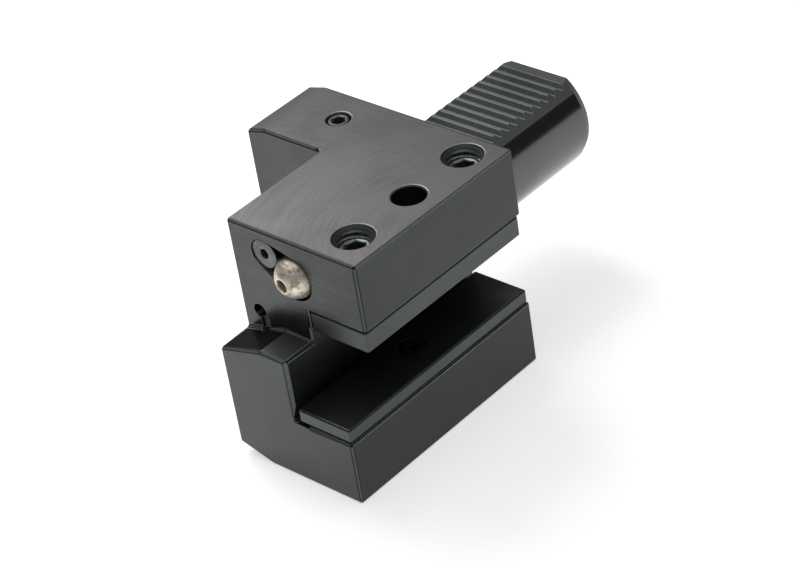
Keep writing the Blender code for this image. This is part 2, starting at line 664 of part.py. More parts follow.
def make_spring_washer(surface):
    inner = HANGER_RADIUS + FIT_GAP
    profile = [(inner, 0), (WASHER_RADIUS, 0), (WASHER_RADIUS, -WASHER_THICKNESS),
               (inner, -WASHER_THICKNESS)]
    place = (CLAMP_LINE_X, HANGER_Y, WASHER_TOP)
    return finish(turned("spring_seat_washer", profile, place, UP, holder, closed=True), surface)


def make_spring(surface):
    """Compression spring between the hole's floor and the washer, with closed ends."""
    low = HANGER_FLOOR + FIT_GAP + SPRING_WIRE_RADIUS
    high = WASHER_BOTTOM - FIT_GAP - SPRING_WIRE_RADIUS
    closed_rise = (2 * SPRING_WIRE_RADIUS + FIT_GAP / 2) * SPRING_END_TURNS
    turns = 2 * SPRING_END_TURNS + SPRING_WORKING_TURNS
    heights = ((0, low), (SPRING_END_TURNS, low + closed_rise),
               (turns - SPRING_END_TURNS, high - closed_rise), (turns, high))
    per_turn = 14
    count = round(turns * per_turn)
    curve = bpy.data.curves.new("bar_return_spring", "CURVE")
    curve.dimensions = "3D"
    curve.bevel_depth = SPRING_WIRE_RADIUS
    curve.bevel_resolution = 2
    curve.use_fill_caps = True
    spline = curve.splines.new("POLY")
    spline.points.add(count)
    for at, point in enumerate(spline.points):
        turn = turns * at / count
        for (turn_from, z_from), (turn_to, z_to) in zip(heights, heights[1:]):
            if turn_from <= turn <= turn_to:
                share = (turn - turn_from) / (turn_to - turn_from)
                height = z_from + (z_to - z_from) * share
        angle = math.tau * turn
        point.co = (SPRING_RADIUS * math.cos(angle), SPRING_RADIUS * math.sin(angle), height, 1)
    place = Matrix.Translation((CLAMP_LINE_X, HANGER_Y, 0))
    return finish(add_object("bar_return_spring", curve, place, holder), surface)


# Coolant


def make_ball(surface):
    """Swivelling ball with a through jet, flat where the jet leaves it."""
    front = math.asin(BALL_FLAT_RADIUS / BALL_RADIUS)
    back = math.pi - math.asin(BALL_INLET_RADIUS / BALL_RADIUS)
    steps = 14
    profile = [(BALL_JET_RADIUS, BALL_RADIUS * math.cos(front))]
    for at in range(steps + 1):
        angle = front + (back - front) * at / steps
        profile.append((BALL_RADIUS * math.sin(angle), BALL_RADIUS * math.cos(angle)))
    inlet_depth = BALL_INLET_RADIUS - BALL_JET_RADIUS
    profile.append((BALL_JET_RADIUS, BALL_RADIUS * math.cos(back) + inlet_depth))
    ball = turned("nozzle_ball", profile, BALL_CENTRE, BALL_AIM, holder, closed=True)
    return finish(ball, surface)


def make_ball_seat(surface):
    """Seat ring behind the ball, hollowed to the ball's radius."""
    outer = NOZZLE_POCKET_RADIUS - FIT_GAP
    hollow = BALL_RADIUS + FIT_GAP
    back = NOZZLE_POCKET_DEPTH - FIT_GAP - BALL_CENTRE_DEPTH
    front = back - SEAL_THICKNESS
    widest = math.asin(front / hollow)
    narrowest = math.acos(SEAL_BORE_RADIUS / hollow)
    steps = 5
    profile = [(outer, -front), (outer, -back), (SEAL_BORE_RADIUS, -back)]
    for at in range(steps + 1):
        angle = narrowest + (widest - narrowest) * at / steps
        profile.append((hollow * math.cos(angle), -hollow * math.sin(angle)))
    ring = turned("nozzle_seal_ring", profile, BALL_CENTRE, FORWARD, holder, closed=True)
    return finish(ring, surface)


def make_nozzle_screw(surface):
    """Countersunk screw whose head holds the ball in its pocket."""
    top = Vector((NOZZLE_SCREW_X, BLOCK_FRONT + FIT_GAP, NOZZLE_SCREW_Z))
    head, shaft = NOZZLE_SCREW_HEAD_RADIUS, NOZZLE_SCREW_RADIUS - FIT_GAP
    profile = countersunk_screw(head, shaft, NOZZLE_SCREW_LENGTH)
    screw = turned("nozzle_clamp_screw", profile, top, FORWARD, holder)
    cut(screw, hexagon("nozzle_screw_socket", NOZZLE_SOCKET, top, FORWARD,
                       NOZZLE_SOCKET * SOCKET_RATIO))
    return finish(screw, surface)


def make_plugs(surface):
    radius = PLUG_RADIUS - FIT_GAP
    edge = PLUG_EDGE
    profile = [(0, 0), (radius - edge, 0), (radius, -edge), (radius, -PLUG_LENGTH + edge),
               (radius - edge, -PLUG_LENGTH), (0, -PLUG_LENGTH)]
    for name, mouth, direction, *_ in plug_places():
        top = Vector(mouth) - direction * PLUG_SUNK
        plug = turned(name, profile, top, direction, holder)
        cut(plug, hexagon(name + "_socket", PLUG_SOCKET, top, direction, PLUG_SOCKET))
        finish(plug, surface)


def make_shank_seal(surface):
    """O-ring in the undercut at the shank's root."""
    middle = SHANK_RADIUS - UNDERCUT_DEPTH + FIT_GAP + SEAL_CORD_RADIUS
    profile = [(radius, -height) for radius, height in
               arc((middle, -UNDERCUT_WIDTH / 2), SEAL_CORD_RADIUS, -90, 234, 9)]
    ring = turned("shank_seal_ring", profile, (0, 0, 0), BACKWARD, holder, FINE, closed=True)
    return finish(ring, surface)


make_body(material("black_oxide_body", (0.035, 0.036, 0.037), 0.38, 0.85))
make_clamp_bar(material("black_oxide_bar", (0.045, 0.046, 0.047), 0.36, 0.85))
make_rest_plate(material("hardened_black_plate", (0.030, 0.031, 0.032), 0.28, 0.85))
make_rest_screw(material("black_plate_screw", (0.028, 0.028, 0.030), 0.40, 0.85))
make_rest_pins(material("ground_steel_pin", (0.50, 0.50, 0.49), 0.25, 1.0))
make_clamp_screws(material("black_set_screw", (0.050, 0.050, 0.052), 0.38, 0.90))
make_hanger_screw(material("black_cap_screw", (0.040, 0.040, 0.042), 0.42, 0.85))
make_spring_washer(material("zinc_washer", (0.45, 0.45, 0.44), 0.35, 1.0))
make_spring(material("spring_steel", (0.30, 0.30, 0.30), 0.32, 1.0))
make_ball(material("nickel_ball", (0.62, 0.57, 0.50), 0.22, 1.0))
make_ball_seat(material("seal_plastic", (0.42, 0.40, 0.36), 0.50, 0.0))
make_nozzle_screw(material("black_nozzle_screw", (0.060, 0.060, 0.062), 0.36, 0.90))
make_plugs(material("black_plug", (0.040, 0.040, 0.042), 0.40, 0.85))
make_shank_seal(material("seal_rubber", (0.018, 0.018, 0.018), 0.60, 0.0))
for leftover in list(cutters.objects):
    bpy.data.objects.remove(leftover)
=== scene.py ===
"""Looks of the axial tool holder: finishes, threads, sockets, light and camera on its frame."""
import json
import math

import bmesh
import bpy
import numpy as np
from mathutils import Matrix, Vector
from mathutils.bvhtree import BVHTree


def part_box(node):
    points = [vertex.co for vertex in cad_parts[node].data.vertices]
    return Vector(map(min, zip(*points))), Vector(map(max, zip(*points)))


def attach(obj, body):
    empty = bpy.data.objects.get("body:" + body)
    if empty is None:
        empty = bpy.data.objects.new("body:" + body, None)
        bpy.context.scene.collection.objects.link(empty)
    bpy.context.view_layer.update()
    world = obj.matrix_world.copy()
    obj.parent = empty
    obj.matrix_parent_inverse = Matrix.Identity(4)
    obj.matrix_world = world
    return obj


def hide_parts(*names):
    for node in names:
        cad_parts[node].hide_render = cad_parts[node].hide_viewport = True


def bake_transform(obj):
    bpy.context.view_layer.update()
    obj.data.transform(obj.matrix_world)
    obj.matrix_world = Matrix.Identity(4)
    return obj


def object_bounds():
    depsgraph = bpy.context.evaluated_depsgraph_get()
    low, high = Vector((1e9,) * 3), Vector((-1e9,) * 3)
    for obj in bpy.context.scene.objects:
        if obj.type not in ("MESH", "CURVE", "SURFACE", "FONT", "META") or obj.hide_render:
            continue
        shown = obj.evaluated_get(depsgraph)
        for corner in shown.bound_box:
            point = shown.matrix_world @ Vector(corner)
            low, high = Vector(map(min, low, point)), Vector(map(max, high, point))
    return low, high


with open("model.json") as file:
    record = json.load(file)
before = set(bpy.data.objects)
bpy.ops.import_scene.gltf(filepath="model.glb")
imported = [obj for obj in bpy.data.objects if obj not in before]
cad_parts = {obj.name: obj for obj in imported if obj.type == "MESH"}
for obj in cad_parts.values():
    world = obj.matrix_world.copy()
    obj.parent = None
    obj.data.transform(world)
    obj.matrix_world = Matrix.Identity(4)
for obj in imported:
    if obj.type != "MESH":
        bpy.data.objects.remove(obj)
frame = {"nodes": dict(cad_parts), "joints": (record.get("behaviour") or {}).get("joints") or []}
nodes = frame["nodes"]
cad_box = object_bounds()

MM = 0.001


def rounded(point):
    """A point of the frame in millimetres, to a tenth of a micron."""
    return [round(part / MM, 4) for part in point]


def middle_of(node):
    """Middle of a part's box, in millimetres."""
    low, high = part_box(node)
    return rounded((low + high) / 2)


# Camera, in millimetres on a sensor 36 mm wide
SENSOR = 36
LENS = 120.20
NEAR, FAR = 10, 20000
EYE = (514.74, -501.97, 459.30)
RIGHT = (0.74565519, 0.65189938, -0.1379331)
UPWARD = (-0.28877661, 0.50270814, 0.81479605)

# Places that the frame gives, in millimetres
FLANGE_LEFT, JAW_FRONT, FLOOR_Z = rounded(cad_box[0])
TOP_FACE = rounded(cad_box[1])[2]
BLOCK_FRONT = rounded(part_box("clamp_bar")[0])[1]
BAR_TOP = rounded(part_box("clamp_bar")[1])[2]
CLAMP_Y = {node: middle_of(node)[1] for node in ("clamp_screw_front", "clamp_screw_rear")}
CLAMP_X, HANGER_Y, _ = middle_of("bar_retaining_screw")
TOP_PLUG = middle_of("coolant_plug_top")[:2]
NOZZLE_SCREW_X, _, NOZZLE_SCREW_Z = middle_of("nozzle_clamp_screw")
BALL_CENTRE = next(rounded(joint["pos_m"]) for joint in frame["joints"]
                   if joint["name"] == "nozzle_swivel")

# Places and sizes on the body, in millimetres; holes by their radius
SLOT_WALL = 18.7
SLOT_CEILING = 9.0
SLOT_FLOOR = -25.0
SLOT_RELIEF = 1.2
OUTLET_GROOVE_X, OUTLET_GROOVE = -1.0, 1.8
POCKET_BACK = -40
POCKET_BOX = ((0, BLOCK_FRONT + 0.3, SLOT_CEILING), (24, POCKET_BACK, 30))
DRILLING_BOX = ((FLANGE_LEFT + 0.5, -18, -5), (20, -8, 28))
CLAMP_HOLE, HANGER_HOLE, PLUG_HOLE = 6.1, 5.7, 4.2
BALL_POCKET, SCREW_POCKET = 8.0, 5.4
SHANK_RADIUS = 20.0
TOOTH_CREST_HEIGHT = 15.0
TEETH_START, TEETH_END, LAND_START = 7.0, 62.0, 58.0

# Threads, in millimetres, with the rows to a turn and the angle from which an edge is sharp
M12_PITCH = 1.75
M12_CREST = 5.9
M12_DEPTH = 1.0
M12_GAP = 0.12
FINE_PITCH = 1.0
SUNK_PITCH = 0.8
TURN_ROWS = 12
THREAD_SHARP = 40

# How far the clamp screws' sockets are turned
CLAMP_TURN = math.radians(11)

# Coolant ball: the jet's direction, then sizes in millimetres
BALL_AIM = (-0.09, -0.994, -0.045)
BALL_RADIUS = 6.9
JET_RADIUS = 2.1

# Rounded edges in millimetres: their widths, and how far one may stand off the solid
BREAK_LINE = 0.24
BODY_CORNER = 0.16
SMALL_CORNER = 0.15
CORNER_REACH = 0.25

# Angles from which an edge is a corner, and from which a copied solid's edge looks sharp
CORNER_ANGLE = math.radians(35)
SOLID_SHARP = math.radians(28)

# How close together points are merged, in metres, in new meshes and in copied solids
NEW_MERGE, SOLID_MERGE = 1e-7, 2e-6

# Marks on the top, in millimetres: the centres of the cutter's arcs and of the hand-ground
# strokes, and the slanting direction and stretch along which the arcs turn into the strokes
CUTTER_CENTRE = (61.6, -43.5)
STROKE_CENTRE = (-5.0, -70.0)
SLANT = (-0.805, 0.594)
SLANT_START, SLANT_END = -16.0, -8.0


# Meshes from arrays

def turned_frame(direction):
    """Right-handed axes whose third one is the direction, as the columns of a 3 x 3 array."""
    third = np.array(direction, float) / np.linalg.norm(direction)
    helper = np.array([1.0, 0, 0]) if abs(third[0]) < 0.9 else np.array([0, 1.0, 0])
    first = helper - third * helper.dot(third)
    first /= np.linalg.norm(first)
    return np.stack([first, np.cross(third, first), third], axis=1)


def linked(name, data):
    """New object for a mesh, a lamp or a camera, in the scene and at the origin."""
    piece = bpy.data.objects.new(name, data)
    bpy.context.scene.collection.objects.link(piece)
    return piece


def skin(name, grid, closed_rows=False, sharp=30):
    """Closed mesh over a grid of points: columns wrap round, rows end in poles or wrap too."""
    rows, columns, _ = grid.shape
    row = np.arange(rows if closed_rows else rows - 1)
    column = np.arange(columns)
    first, second = np.meshgrid(row, column, indexing="ij")
    below, right = (first + 1) % rows, (second + 1) % columns
    quads = np.stack([first * columns + second, first * columns + right,
                      below * columns + right, below * columns + second], axis=-1)
    quads = quads.reshape(-1, 4)
    points = grid.reshape(-1, 3) * MM
    a, b, c, d = (points[quads[:, k]] for k in range(4))
    volume = np.einsum("ij,ij->i", a, np.cross(b, c)) + np.einsum("ij,ij->i", a, np.cross(c, d))
    if volume.sum() < 0:
        quads = quads[:, ::-1]
    mesh = bpy.data.meshes.new(name)
    mesh.from_pydata(points.tolist(), [], quads.tolist())
    work = bmesh.new()
    work.from_mesh(mesh)
    bmesh.ops.remove_doubles(work, verts=work.verts, dist=NEW_MERGE)
    work.to_mesh(mesh)
    work.free()
    mesh.shade_smooth()
    mesh.set_sharp_from_angle(angle=math.radians(sharp))
    return linked(name, mesh)


def hexagon_factor(angle):
    """Distance from the centre to a hexagon's side along an angle, with half its flats as 1."""
    return 1 / np.cos(np.mod(angle, math.pi / 3) - math.pi / 6)


def thread_cut(height, angle, pitch):
    """Depth of a right-hand thread as a share of its full depth, a trapezoid along the helix."""
    steepness, crest_share = 2.9, 0.25
    phase = np.mod(height / pitch - angle / (2 * math.pi), 1.0)
    return np.clip(np.abs(phase - 0.5) * steepness - crest_share, 0, 1)


def lathe(name, rows, place, direction, columns=72, turn=0.0, closed=False, pitch=0.0,
          depth=0.0, lift=0.0, sharp=30):
    """Turned piece. A row holds radius, height, share of hexagon and share of thread; the radius
    times the hexagon's factor, less the thread's cut at that height and angle, is the surface."""
    rows = np.array([tuple(row) + (0,) * (4 - len(row)) for row in rows], float)
    angle = turn + np.linspace(0, 2 * math.pi, columns, endpoint=False)[None, :]
    radius, height, flats, threaded = (rows[:, k:k + 1] for k in range(4))
    reach = radius * (1 + flats * (hexagon_factor(angle - turn) - 1))
    if pitch:
        reach = reach - threaded * depth * thread_cut(height + lift, angle, pitch)
    local = np.stack([reach * np.cos(angle), reach * np.sin(angle),
                      height + 0 * angle], axis=-1)
    grid = local @ turned_frame(direction).T + np.array(place, float)
    return skin(name, grid, closed, sharp)


def thread_rows(radius, start, end, pitch):
    """Rows close enough together for a thread, from one height to another."""
    count = max(3, int(abs(end - start) / pitch * TURN_ROWS))
    return [(radius, height, 0, 1) for height in np.linspace(start, end, count)]


def socket_rows(flats, top, depth, rim=0.25):
    """Rows of a hexagon socket with a small lead-in and a drilled point at its floor. A
    hexagon's corner is 1.155 times as far out as its flat, so the lead-in starts beyond it."""
    half = flats / 2
    return [(half * 1.155 + rim, top), (half + rim * 0.4, top - rim * 0.9, 0.9),
            (half, top - rim * 1.3, 1), (half, top - depth, 1), (half * 0.93, top - depth, 0),
            (0, top - depth - half * 0.5)]


def tube(name, path, radius, around=14):
    """Round wire along a path: at each point a circle square to the path's direction."""
    ahead = np.gradient(path, axis=0)
    ahead /= np.linalg.norm(ahead, axis=1, keepdims=True)
    side = np.cross(ahead, np.array([0, 0, 1.0]))
    side /= np.linalg.norm(side, axis=1, keepdims=True)
    over = np.cross(side, ahead)
    angle = np.linspace(0, 2 * math.pi, around, endpoint=False)
    ring = (np.cos(angle)[None, :, None] * side[:, None, :]
            + np.sin(angle)[None, :, None] * over[:, None, :])
    grid = path[:, None, :] + radius * ring
    first = np.repeat(path[:1, None, :], around, axis=1)
    last = np.repeat(path[-1:, None, :], around, axis=1)
    return skin(name, np.concatenate([first, grid, last]), sharp=50)


# Copies of the solids, with rounded edges

def flatten_faces(piece):
    """Normals weighted by area, so that wide faces stay flat up to their rounded edges."""
    weigh = piece.modifiers.new("face_weight", "WEIGHTED_NORMAL")
    weigh.weight = 100
    weigh.keep_sharp = True


def round_edges(piece, name, width, finish=-1, limit="ANGLE"):
    """Bevel modifier of two segments on the corners, or on the edges that have a weight."""
    rounding = piece.modifiers.new(name, "BEVEL")
    rounding.width = width * MM
    rounding.segments = 2
    rounding.limit_method = limit
    rounding.angle_limit = CORNER_ANGLE
    rounding.material = finish
    rounding.use_clamp_overlap = False
    rounding.miter_outer = "MITER_ARC"


def dressed_copy(node, name, edge=None):
    """Merged copy of a part with whole flat faces, and its corners rounded if a width is given."""
    mesh = nodes[node].data.copy()
    mesh.name = name
    work = bmesh.new()
    work.from_mesh(mesh)
    bmesh.ops.remove_doubles(work, verts=work.verts, dist=SOLID_MERGE)
    bmesh.ops.dissolve_limit(work, angle_limit=math.radians(0.1), use_dissolve_boundaries=False,
                             verts=work.verts, edges=work.edges)
    work.to_mesh(mesh)
    work.free()
    mesh.materials.clear()
    mesh.shade_smooth()
    mesh.set_sharp_from_angle(angle=SOLID_SHARP)
    piece = linked(name, mesh)
    if edge:
        round_edges(piece, "edges", edge)
        flatten_faces(piece)
    return piece


def settle(piece, node):
    """Bakes the rounding into the mesh. A point that it threw further than the corner's reach
    from the part's own surface goes back onto it, and no point leaves the part's box."""
    bpy.context.view_layer.update()
    graph = bpy.context.evaluated_depsgraph_get()
    baked = bpy.data.meshes.new_from_object(piece.evaluated_get(graph),
                                            preserve_all_data_layers=True, depsgraph=graph)
    piece.modifiers.clear()
    piece.data = baked
    own = nodes[node].data
    surface = BVHTree.FromPolygons([vertex.co for vertex in own.vertices],
                                   [tuple(face.vertices) for face in own.polygons])
    points = np.empty(len(baked.vertices) * 3, np.float32)
    baked.vertices.foreach_get("co", points)
    points = points.reshape(-1, 3)
    hits = [surface.find_nearest(point) for point in points.tolist()]
    nearest = np.array([hit[0] for hit in hits], np.float32)
    thrown = np.array([hit[3] for hit in hits]) > CORNER_REACH * MM
    low, high = (np.array(corner, np.float32) for corner in cad_box)
    points = np.clip(np.where(thrown[:, None], nearest, points), low, high)
    baked.vertices.foreach_set("co", points.ravel())
    baked.update()


def weigh_edges(mesh, chosen):
    """Writes bevel weight 1 on the chosen edges and 0 on all others."""
    weight = np.zeros(len(mesh.edges), np.float32)
    weight[list(chosen)] = 1
    layer = (mesh.attributes.get("bevel_weight_edge")
             or mesh.attributes.new("bevel_weight_edge", "FLOAT", "EDGE"))
    layer.data.foreach_set("value", weight)


def outer_corners(mesh):
    """Edges that are corners, without those inside the nozzle's pocket and the drillings."""
    work = bmesh.new()
    work.from_mesh(mesh)
    chosen = []
    for edge in work.edges:
        middle = (edge.verts[0].co + edge.verts[1].co) / 2 / MM
        hidden = any(all(low[k] < middle[k] < high[k] for k in range(3))
                     for low, high in (POCKET_BOX, DRILLING_BOX))
        if not hidden and len(edge.link_faces) == 2 and edge.calc_face_angle(0) > CORNER_ANGLE:
            chosen.append(edge.index)
    work.free()
    return chosen


# Node trees

def tree_of(name):
    """New material, its node tree and its surface node."""
    material = bpy.data.materials.new(name)
    material.use_nodes = True
    tree = material.node_tree
    return material, tree, tree.nodes["Principled BSDF"]


def add(tree, kind, values=(), **settings):
    """New node: settings are its own, values go by number or name to its inputs."""
    made = tree.nodes.new(kind)
    for key, value in settings.items():
        setattr(made, key, value)
    for key, value in dict(values).items():
        if isinstance(value, bpy.types.NodeSocket):
            tree.links.new(value, made.inputs[key])
        else:
            made.inputs[key].default_value = value
    return made


def calc(tree, operation, first, second=0.0):
    """One step of arithmetic on two values."""
    return add(tree, "ShaderNodeMath", {0: first, 1: second}, operation=operation).outputs[0]


def weighted(tree, *parts):
    """Sum of products, from pairs of a value and its share."""
    *before, last = (calc(tree, "MULTIPLY", value, share) for value, share in parts)
    for product in reversed(before):
        last = calc(tree, "ADD", product, last)
    return last


def in_mm(tree, scale=(1, 1, 1)):
    """Object coordinates in millimetres, times a scale for a pattern."""
    where = add(tree, "ShaderNodeTexCoord").outputs["Object"]
    return add(tree, "ShaderNodeMapping",
               {"Vector": where, "Scale": tuple(value / MM for value in scale)}).outputs[0]


def axes_in_mm(tree):
    """Object coordinates in millimetres, as outputs X, Y and Z."""
    return add(tree, "ShaderNodeSeparateXYZ", {"Vector": in_mm(tree)}).outputs


def noise(tree, where, scale, detail, rough=0.55):
    """Soft noise of some detail at a place."""
    return add(tree, "ShaderNodeTexNoise",
               {"Vector": where, "Scale": scale, "Detail": detail,
                "Roughness": rough}).outputs["Fac"]


def ramp(tree, factor, stops):
    """Colour from a factor, by stops of position and colour."""
    made = add(tree, "ShaderNodeValToRGB", {"Fac": factor})
    band = made.color_ramp
    while len(band.elements) < len(stops):
        band.elements.new(0.5)
    for element, (position, colour) in zip(band.elements, stops):
        element.position = position
        element.color = (*colour, 1)
    return made.outputs["Color"]


def span(tree, factor, low, high, from_low=0.25, from_high=0.75, curve="LINEAR"):
    """A factor's range stretched to another one, and clamped to it."""
    return add(tree, "ShaderNodeMapRange",
               {"Value": factor, "From Min": from_low, "From Max": from_high,
                "To Min": low, "To Max": high}, interpolation_type=curve).outputs[0]


def dress(tree, surface, colour, gloss, height, rise, metallic):
    """Joins colour, roughness and a relief that rises so many millimetres to a surface."""
    raised = add(tree, "ShaderNodeBump", {"Height": height, "Distance": rise * MM}).outputs[0]
    for name, source in (("Base Color", colour), ("Roughness", gloss), ("Normal", raised)):
        tree.links.new(source, surface.inputs[name])
    surface.inputs["Metallic"].default_value = metallic


# Finishes

def ring_marks(tree, centre, across, along):
    """Marks that follow circles round one centre: noise on (radius, angle x 50 mm), so that it
    is stretched along the circles; a slow drift of the radius keeps the strokes uneven."""
    drift = calc(tree, "MULTIPLY", noise(tree, in_mm(tree, (0.09, 0.09, 0.09)), 1.0, 2.0), 3.0)
    where = axes_in_mm(tree)
    off_x = calc(tree, "SUBTRACT", where["X"], centre[0])
    off_y = calc(tree, "SUBTRACT", where["Y"], centre[1])
    radius = calc(tree, "SQRT", weighted(tree, (off_x, off_x), (off_y, off_y)))
    angle = calc(tree, "ARCTAN2", off_y, calc(tree, "ABSOLUTE", off_x))
    spot = add(tree, "ShaderNodeCombineXYZ",
               {"X": calc(tree, "MULTIPLY", calc(tree, "ADD", radius, drift), across),
                "Y": calc(tree, "MULTIPLY", angle, 50.0 * along)}).outputs[0]
    return noise(tree, spot, 1.0, 5.0, 0.65)


def top_marks(tree):
    """Cutter arcs on the block, hand-ground strokes on the flange, blended along a slant. The
    strokes are set 0.20 lower, a painted shade that darkens the flange.
    """
    where = axes_in_mm(tree)
    slant = weighted(tree, (where["X"], SLANT[0]), (where["Y"], SLANT[1]))
    on_flange = span(tree, slant, 0.0, 1.0, SLANT_START, SLANT_END, "SMOOTHSTEP")
    on_block = calc(tree, "SUBTRACT", 1.0, on_flange)
    cutter = ring_marks(tree, CUTTER_CENTRE, 1.3, 0.035)
    # Strokes lowered by 0.20: painted shade on the flange.
    strokes = calc(tree, "SUBTRACT", ring_marks(tree, STROKE_CENTRE, 1.0, 0.08), 0.20)
    return weighted(tree, (cutter, on_block), (strokes, on_flange))


def black_oxide(name, tone, roughness, marks=None, contrast=0.2, bump=0.01, metallic=0.85,
                tint=(0.90, 1.0, 0.97)):
    """Blackened steel: a cloudy tone, the tool's marks in tone, gloss and height, fine mottle.
    The marks are a noise with its scales along X, Y and Z, or the top's own pattern."""
    material, tree, surface = tree_of(name)
    cloud = noise(tree, in_mm(tree, (0.05, 0.05, 0.05)), 1.0, 4.0)
    mottle = noise(tree, in_mm(tree), 1.6, 3.0, 0.6)
    if marks == "top":
        lines = top_marks(tree)
    elif marks:
        lines = noise(tree, in_mm(tree, marks), 1.0, 4.0, 0.65)
    else:
        lines = noise(tree, in_mm(tree), 0.6, 5.0, 0.7)
    mixed = weighted(tree, (cloud, 0.40), (lines, 0.38), (mottle, 0.22))
    shades = [(stop, tuple(tone * share * part for part in tint))
              for stop, share in ((0.30, 1 - contrast), (0.50, 1), (0.70, 1 + contrast))]
    gloss = span(tree, mixed, roughness * 1.18, roughness * 0.82, 0.32, 0.68)
    height = weighted(tree, (lines, 0.75), (mottle, 0.25))
    dress(tree, surface, ramp(tree, mixed, shades), gloss, height, bump, metallic)
    return material


def plain_metal(name, colour, roughness, lines=(0.4, 0.4, 0.4), stain=None):
    """Bare or plated metal with fine turning lines, and a stain where one is given."""
    material, tree, surface = tree_of(name)
    streak = noise(tree, in_mm(tree, lines), 1.0, 4.0, 0.6)
    patch = noise(tree, in_mm(tree, (0.35, 0.35, 0.35)), 1.0, 3.0, 0.6)
    mixed = weighted(tree, (streak, 0.5), (patch, 0.5))
    low = stain or tuple(part * 0.85 for part in colour)
    low_stop, plain_stop = (0.38, 0.51) if stain else (0.36, 0.47)
    shades = [(low_stop, low), (plain_stop, colour),
              (0.75, tuple(min(1, part * 1.12) for part in colour))]
    gloss = span(tree, mixed, roughness * 1.4, roughness * 0.8, 0.35, 0.65)
    dress(tree, surface, ramp(tree, mixed, shades), gloss, streak, 0.006, 1.0)
    return material


def moulded(name, colour, roughness):
    """Rubber or plastic with a fine grain and no metal in it."""
    material, tree, surface = tree_of(name)
    grain = noise(tree, in_mm(tree), 2.2, 4.0, 0.6)
    shades = [(stop, tuple(part * share for part in colour))
              for stop, share in ((0.3, 0.8), (0.7, 1.15))]
    gloss = span(tree, grain, roughness * 1.1, roughness * 0.9)
    dress(tree, surface, ramp(tree, grain, shades), gloss, grain, 0.01, 0.0)
    return material


def fade(material, axis, start, end, share):
    """Multiplies a finish's colour by 1 at the start, in mm along an axis, and a share at the
    end: the edges' wear and painted highlight fade out on the shank, and painted shade makes
    the sides darker low down and the fronts of the block and the jaw darker towards the right."""
    tree = material.node_tree
    base = tree.nodes["Principled BSDF"].inputs["Base Color"]
    factor = span(tree, axes_in_mm(tree)[axis], 1.0, share, start, end)
    scaled = add(tree, "ShaderNodeVectorMath", {0: base.links[0].from_socket, "Scale": factor},
                 operation="SCALE")
    tree.links.new(scaled.outputs[0], base)


# Marks by their direction: lines along X and Y, and turned rings round Y and Z
STRAIGHT_X = (0.02, 1.0, 1.0)
FINE_X = (0.025, 1.5, 1.5)
STRAIGHT_Y = (2.0, 0.03, 2.0)
RINGS_Y = (0.12, 4.0, 0.12)
RINGS_Z = (0.6, 0.6, 3.0)

# Tints of the black, then the body's finishes
WARM = (1.0, 0.985, 0.955)
COOL = (0.95, 1.0, 0.98)
NEUTRAL = (0.98, 1.0, 0.985)
BODY_LOOKS = {
    "milled_top": dict(tone=0.155, roughness=0.44, marks="top", contrast=0.36, bump=0.03,
                       tint=WARM),
    "brushed_front": dict(tone=0.076, roughness=0.25, marks=FINE_X, contrast=0.42, bump=0.016,
                          tint=COOL),
    "ground_side": dict(tone=0.060, roughness=0.32, marks=STRAIGHT_Y, contrast=0.10, bump=0.008),
    "slot_gloss": dict(tone=0.062, roughness=0.30, contrast=0.06, bump=0.002, metallic=0.6),
    "shelf_gloss": dict(tone=0.046, roughness=0.22, marks=STRAIGHT_X, bump=0.008),
    "shelf_flat": dict(tone=0.100, roughness=0.34, marks=STRAIGHT_Y, contrast=0.30, metallic=0.7),
    "shank_ground": dict(tone=0.116, roughness=0.16, marks=RINGS_Y, contrast=0.12, bump=0.003,
                         tint=NEUTRAL),
    # Teeth: light crests and dark flanks of one milled surface, set by which way they face: painted
    # highlight and painted shade.
    "tooth_flank_painted_shade": dict(tone=0.060, roughness=0.60, contrast=0.50, bump=0.04, metallic=0.4),
    "tooth_crest_painted_highlight": dict(tone=0.150, roughness=0.50, contrast=0.30, bump=0.02, metallic=0.4),
    "tooth_land": dict(tone=0.090, roughness=0.50, contrast=0.25, bump=0.02, metallic=0.4),
    "tooth_strip": dict(tone=0.120, roughness=0.55, contrast=0.25, bump=0.02, metallic=0.3),
    "edge_break": dict(tone=0.160, roughness=0.45, contrast=0.25, metallic=0.5),
    # Flange's tilted slopes: darker than the top for how they face the light, painted shade.
    "wing_slope_painted_shade": dict(tone=0.115, roughness=0.52, metallic=0.4, tint=WARM),
    "hole_cone": dict(tone=0.060, roughness=0.42, metallic=0.6),
    "edge_soft": dict(tone=0.160, roughness=0.50, marks=STRAIGHT_Y, contrast=0.15, metallic=0.3),
    # Pale colour on the outlet groove's side wall, which sits in shade: painted highlight.
    "groove_painted_highlight": dict(tone=0.450, roughness=0.50, contrast=0.30, metallic=0.3),
    # Very dark colour on the rounding of the broad edge breaks: a painted shade line.
    "edge_painted_shade_line": dict(tone=0.030, roughness=0.35),
    "thread_grey": dict(tone=0.170, roughness=0.26, marks=RINGS_Z, contrast=0.30, metallic=0.7),
    "bored": dict(tone=0.050, roughness=0.38, bump=0.02),
    # Lighter colour on the rounded outer corners: partly wear, partly painted highlight.
    "worn_edge_painted_highlight": dict(tone=0.260, roughness=0.42, contrast=0.30, bump=0.02, metallic=0.55),
    "jaw_front": dict(tone=0.078, roughness=0.26, marks=STRAIGHT_X, contrast=0.16, tint=COOL),
    # Upright edge breaks: edge_break's finish at a lower tone, painted shade.
    "edge_upright_painted_shade": dict(tone=0.120, roughness=0.45, contrast=0.25, metallic=0.5),
}
FINISH = {name: black_oxide(name, **look) for name, look in BODY_LOOKS.items()}
